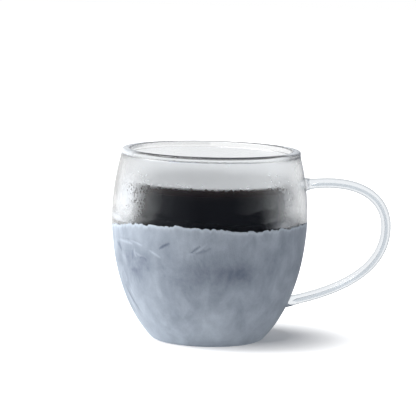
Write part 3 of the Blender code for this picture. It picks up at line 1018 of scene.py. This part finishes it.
def glass_handle(material):
    """Bent oval rod: an ellipse carried along two cubic curves, flaring where it is welded to the wall."""
    upper_foot, upper_way = weld_foot(UPPER_WELD_HEIGHT, UPPER_WELD_SLOPE)
    lower_foot, lower_way = weld_foot(LOWER_WELD_HEIGHT, LOWER_WELD_SLOPE)
    upper_end = upper_foot + upper_way * UPPER_WELD_LENGTH
    lower_end = lower_foot + lower_way * LOWER_WELD_LENGTH
    grip = np.array([GRIP_OUTSIDE - HANDLE_THICKNESS / 2, GRIP_HEIGHT])
    up = np.array([0.0, 1.0])
    stem = np.linspace(0, 1, STEM_STEPS)[:-1, None]
    path = np.vstack([
        upper_foot + (upper_end - upper_foot) * stem,
        bezier(upper_end, upper_end + upper_way * UPPER_RUN, grip + up * GRIP_RISE, grip, UPPER_ARM_STEPS),
        bezier(
            grip, grip - up * GRIP_FALL, lower_end + lower_way * LOWER_RUN, lower_end, LOWER_ARM_STEPS)[1:],
        lower_end + (lower_foot - lower_end) * (stem[1:] + stem[1]),
    ])
    tangent = np.gradient(path, axis=0)
    tangent /= np.linalg.norm(tangent, axis=1, keepdims=True)
    along = np.append(0, np.cumsum(np.linalg.norm(np.diff(path, axis=0), axis=1)))
    from_upper = np.clip(1 - along / (UPPER_WELD_REACH * UPPER_WELD_LENGTH), 0, 1) ** 2
    from_lower = np.clip(1 - (along[-1] - along) / (LOWER_WELD_REACH * LOWER_WELD_LENGTH), 0, 1) ** 2
    size = 1 + (UPPER_WELD_FLARE - 1) * from_upper + (LOWER_WELD_FLARE - 1) * from_lower
    turn = round_angles(ROD_SIDES)
    lift = HANDLE_THICKNESS / 2 * np.cos(turn) * size
    x = path[:, 0] - tangent[:, 1] * lift
    z = path[:, 1] + tangent[:, 0] * lift
    y = HANDLE_DEPTH / 2 * np.sin(turn) * size
    grid = np.stack([x, y, z], axis=-1)
    grid[:, 0] = to_wall(grid[:, 0], np.array([-upper_way[0], 0, -upper_way[1]]))
    grid[:, -1] = to_wall(grid[:, -1], np.array([-lower_way[0], 0, -lower_way[1]]))
    grid = capped(grid)
    inner = (along > BORE_START) & (along < along[-1] - BORE_START)
    taper = ease(np.minimum(along - BORE_START, along[-1] - BORE_START - along)[inner] / BORE_TAPER)
    bore = np.stack([
        path[inner, 0] + BORE_SHIFT[0] + tangent[inner, 1] * BORE_RADIUS * np.cos(turn) * taper,
        BORE_RADIUS * np.sin(turn) * taper,
        path[inner, 1] + BORE_SHIFT[1] - tangent[inner, 0] * BORE_RADIUS * np.cos(turn) * taper,
    ], axis=-1)
    bore = capped(bore)
    rod_points = grid.shape[0] * grid.shape[1]
    faces = grid_faces(ROD_SIDES, grid.shape[1], False)
    bore_faces = grid_faces(ROD_SIDES, bore.shape[1], False) + rod_points
    points = np.vstack([grid.reshape(-1, 3), bore.reshape(-1, 3)])
    in_bore = np.arange(len(points)) >= rod_points
    piece = put_piece(
        "glass_handle", points, np.vstack([faces, bore_faces]), material, weld=True, sharp=math.radians(50),
        bore=in_bore)
    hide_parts("handle_rod", "handle_weld_upper", "handle_weld_lower")


# Studio

CAMERA_PLACE = (-0.00083, -1.0852, 0.1946)
CAMERA_PITCH = math.radians(7.036)
CAMERA_ROLL = math.radians(1.394)
CAMERA_LENS = 205.7

FLOOR_SIZE = 8.0
FLOOR_WHITE = 0.82
# Glow of the table for matt surfaces, a painted bounce light
FLOOR_BOUNCE = 0.24
# Painted shadow: middle of a disc where the table's lift drops, its inside and outside radii, and the lift
# inside it
PAINTED_SHADOW_MIDDLE = (0.018, 0.012, 0.0)
PAINTED_SHADOW_INSIDE = 0.02
PAINTED_SHADOW_OUTSIDE = 0.065
PAINTED_SHADOW_LIFT = 0.1
LAMPS = (
    ("left_softbox", (-1.0, 0.1, 0.22), (0.7, 0.4), 6.6, False),
    ("top_softbox", (-0.6, 0.0, 1.15), (1.0, 1.0), 14.0, True),
)
LAMP_AIM = (0.0, 0.0, 0.04)
GLASS_BOUNCES = 32
MIRROR_BOUNCES = 16
ROOM_FRONT = -0.8
ROOM_BACK = 0.5
WHITE = (1.0, 1.0, 1.0)
DIM_FRONT = (0.08, 0.085, 0.10)
DIM_BACK = (0.40, 0.41, 0.43)
MIRROR_FRONT = (0.05, 0.055, 0.07)
MIRROR_LEFT = (0.34, 0.36, 0.41)
MIRROR_WAY = Vector((-0.8, 0.6, 0.0))
MIRROR_BAND = (0.006, 0.015, 0.045)
MIRROR_BAND_HEIGHT = 0.16
MIRROR_BAND_FADE = 0.1
MIRROR_BAND_HALF = 0.024
MIRROR_BAND_SIDE = 0.016
# What is mirrored inside the glass: white behind the mug and a little to the right, dark in front
BRIGHT_WAY = Vector((0.10, 0.96, -0.26)).normalized()
GLASS_FRONT = (0.04, 0.045, 0.06)
GLASS_SIDE = (0.95, 0.975, 1.0)
# Faces of glass on a way through both walls, in front and behind
WALL_FACES = 8
BACKDROP_STOPS = ((-0.8, GLASS_FRONT), (-0.3, GLASS_SIDE), (0.3, WHITE))
MIRROR_STOPS = ((-0.4, MIRROR_FRONT), (0.35, MIRROR_LEFT), (0.7, WHITE))
TABLE_STOPS = ((-0.1, GLASS_FRONT), (0.02, GLASS_SIDE), (0.1, WHITE))


def camera():
    """The view across the table, a little from above."""
    lens = bpy.data.cameras.new("view")
    lens.lens = CAMERA_LENS
    lens.sensor_width = 36.0
    lens.clip_start = 0.01
    view = bpy.data.objects.new("view", lens)
    turn = Euler((math.pi / 2 - CAMERA_PITCH, 0, 0)).to_matrix() @ Euler((0, 0, CAMERA_ROLL)).to_matrix()
    view.matrix_world = turn.to_4x4()
    view.location = CAMERA_PLACE
    into_scene(view)
    bpy.context.scene.camera = view


def colour_steps(tree, value, stops):
    """A colour ramp over a value, through stops of (value, colour)."""
    low, high = stops[0][0], stops[-1][0]
    ramp = put_node(tree, "ValToRGB", {0: spread(tree, value, low, high, 0.0, 1.0)})
    steps = ramp.color_ramp.elements
    for stop, colour in stops[1:-1]:
        steps.new((stop - low) / (high - low)).color = (*colour, 1)
    steps[0].color = (*stops[0][1], 1)
    steps[-1].color = (*stops[-1][1], 1)
    return ramp.outputs["Color"]


def seen_through(tree, path, mirrored):
    """Colour of what glass shows: white straight through or through all walls, another mirrored in it."""
    straight = maths(tree, "LESS_THAN", path["Glossy Depth"], 0.5)
    deep = maths(tree, "GREATER_THAN", path["Transmission Depth"], WALL_FACES - 1.5)
    return blend(tree, maths(tree, "MAXIMUM", straight, deep), mirrored, WHITE)


def floor():
    """White table: matt, lifted to white for the camera, less in a disc right of the mug, a painted shadow
    over the real one.
    """
    material = bpy.data.materials.new("white_table")
    material.use_nodes = True
    tree = material.node_tree
    tree.nodes.remove(tree.nodes["Principled BSDF"])
    matt = put_node(tree, "BsdfDiffuse", {"Color": (FLOOR_WHITE, FLOOR_WHITE, FLOOR_WHITE, 1)})
    place = put_node(tree, "TexCoord").outputs["Object"]
    path = put_node(tree, "LightPath").outputs
    # Painted shadow: the lift drops in a disc round a point right of and behind the mug
    away = put_node(tree, "VectorMath", {0: place, 1: PAINTED_SHADOW_MIDDLE}, operation="DISTANCE")
    white = spread(tree, away.outputs["Value"], PAINTED_SHADOW_INSIDE, PAINTED_SHADOW_OUTSIDE, PAINTED_SHADOW_LIFT, 1.0)
    lift = maths(tree, "MULTIPLY", path["Is Camera Ray"], white)
    # Painted bounce light: the table glows for matt surfaces, lighting the mug from below
    bounce = maths(tree, "MULTIPLY", path["Is Diffuse Ray"], FLOOR_BOUNCE)
    glow = put_node(tree, "Emission", {"Strength": maths(tree, "ADD", lift, bounce)})
    both = put_node(tree, "AddShader", {0: matt.outputs[0], 1: glow.outputs[0]})
    depth = put_node(tree, "SeparateXYZ", {0: place}).outputs["Y"]
    way = put_node(tree, "VectorMath", {0: place}, operation="NORMALIZE").outputs[0]
    lit = colour_steps(tree, lies_along(tree, way, MIRROR_WAY), MIRROR_STOPS)
    mirror = put_node(tree, "Emission", {"Color": lit})
    mirrored = put_node(tree, "MixShader", {
        0: path["Is Glossy Ray"], 1: both.outputs[0], 2: mirror.outputs[0]})
    behind = seen_through(tree, path, colour_steps(tree, depth, TABLE_STOPS))
    backlit = put_node(tree, "Emission", {"Color": behind})
    shown = put_node(tree, "MixShader", {
        0: path["Is Transmission Ray"], 1: mirrored.outputs[0], 2: backlit.outputs[0]})
    tree.links.new(shown.outputs[0], tree.nodes["Material Output"].inputs["Surface"])
    half = FLOOR_SIZE / 2
    mesh = bpy.data.meshes.new("table")
    corners = [(-half, -half, 0), (half, -half, 0), (half, half, 0), (-half, half, 0)]
    mesh.from_pydata(corners, [], [(0, 1, 2, 3)])
    mesh.materials.append(material)
    table = bpy.data.objects.new("table", mesh)
    into_scene(table)


def studio():
    """White backdrop for the camera and through glass, a dim room for the rest, and two soft lamps."""
    world = bpy.data.worlds.new("studio")
    world.use_nodes = True
    bpy.context.scene.world = world
    tree = world.node_tree
    back = tree.nodes["Background"]
    way = put_node(tree, "TexCoord").outputs["Generated"]
    axes = put_node(tree, "SeparateXYZ", {0: way}).outputs
    depth = axes["Y"]
    behind = spread(tree, depth, ROOM_FRONT, ROOM_BACK, 0.0, 1.0)
    path = put_node(tree, "LightPath").outputs
    room = blend(tree, behind, DIM_FRONT, DIM_BACK)
    mirrored = colour_steps(tree, lies_along(tree, way, MIRROR_WAY), MIRROR_STOPS)
    low = spread(tree, axes["Z"], MIRROR_BAND_HEIGHT, MIRROR_BAND_HEIGHT + MIRROR_BAND_FADE, 1.0, 0.0)
    aside = maths(tree, "ABSOLUTE", axes["X"], 0.0)
    strip = spread(tree, aside, MIRROR_BAND_HALF, MIRROR_BAND_HALF + MIRROR_BAND_SIDE, 1.0, 0.0)
    strip = maths(tree, "MULTIPLY", strip, maths(tree, "GREATER_THAN", depth, 0.0))
    band = maths(tree, "MULTIPLY", low, strip)
    mirrored = blend(tree, band, mirrored, MIRROR_BAND)
    colour = blend(tree, path["Is Glossy Ray"], room, mirrored)
    through = colour_steps(tree, lies_along(tree, way, BRIGHT_WAY), BACKDROP_STOPS)
    through = seen_through(tree, path, through)
    colour = blend(tree, path["Is Transmission Ray"], colour, through)
    colour = blend(tree, path["Is Camera Ray"], colour, WHITE)
    tree.links.new(colour, back.inputs["Color"])
    for name, place, size, power, shown in LAMPS:
        light = bpy.data.lights.new(name, "AREA")
        light.shape = "RECTANGLE"
        light.size, light.size_y = size
        light.energy = power
        lamp = bpy.data.objects.new(name, light)
        lamp.location = place
        lamp.visible_glossy = shown
        lamp.visible_transmission = shown
        lamp.rotation_euler = (Vector(LAMP_AIM) - Vector(place)).to_track_quat("-Z", "Y").to_euler()
        into_scene(lamp)
    bpy.context.scene.view_settings.view_transform = "Standard"
    cycles = bpy.context.scene.cycles
    cycles.max_bounces = cycles.transparent_max_bounces = cycles.transmission_bounces = GLASS_BOUNCES
    cycles.glossy_bounces = MIRROR_BOUNCES


def dress_mug():
    """Every piece of the mug with its finish."""
    blown_glass(misted_glass_finish())
    dew_skin(dew_finish())
    frost_coat(frost_finish())
    cooling_gel(gel_finish())
    cold_drink(drink_finish())
    glass_handle(rod_glass_finish())
    silicone = rubber_finish("stopper_silicone", (0.78, 0.79, 0.79), (0.84, 0.85, 0.85), 0.4, 0.55)
    sealant = rubber_finish("clear_sealant", (0.84, 0.86, 0.86), (0.90, 0.91, 0.91), 0.2, 0.35)
    for node, finish in (("fill_plug", silicone), ("plug_sealant", sealant)):
        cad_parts[node].data.materials.clear()
        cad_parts[node].data.materials.append(finish)


dress_mug()
camera()
floor()
studio()
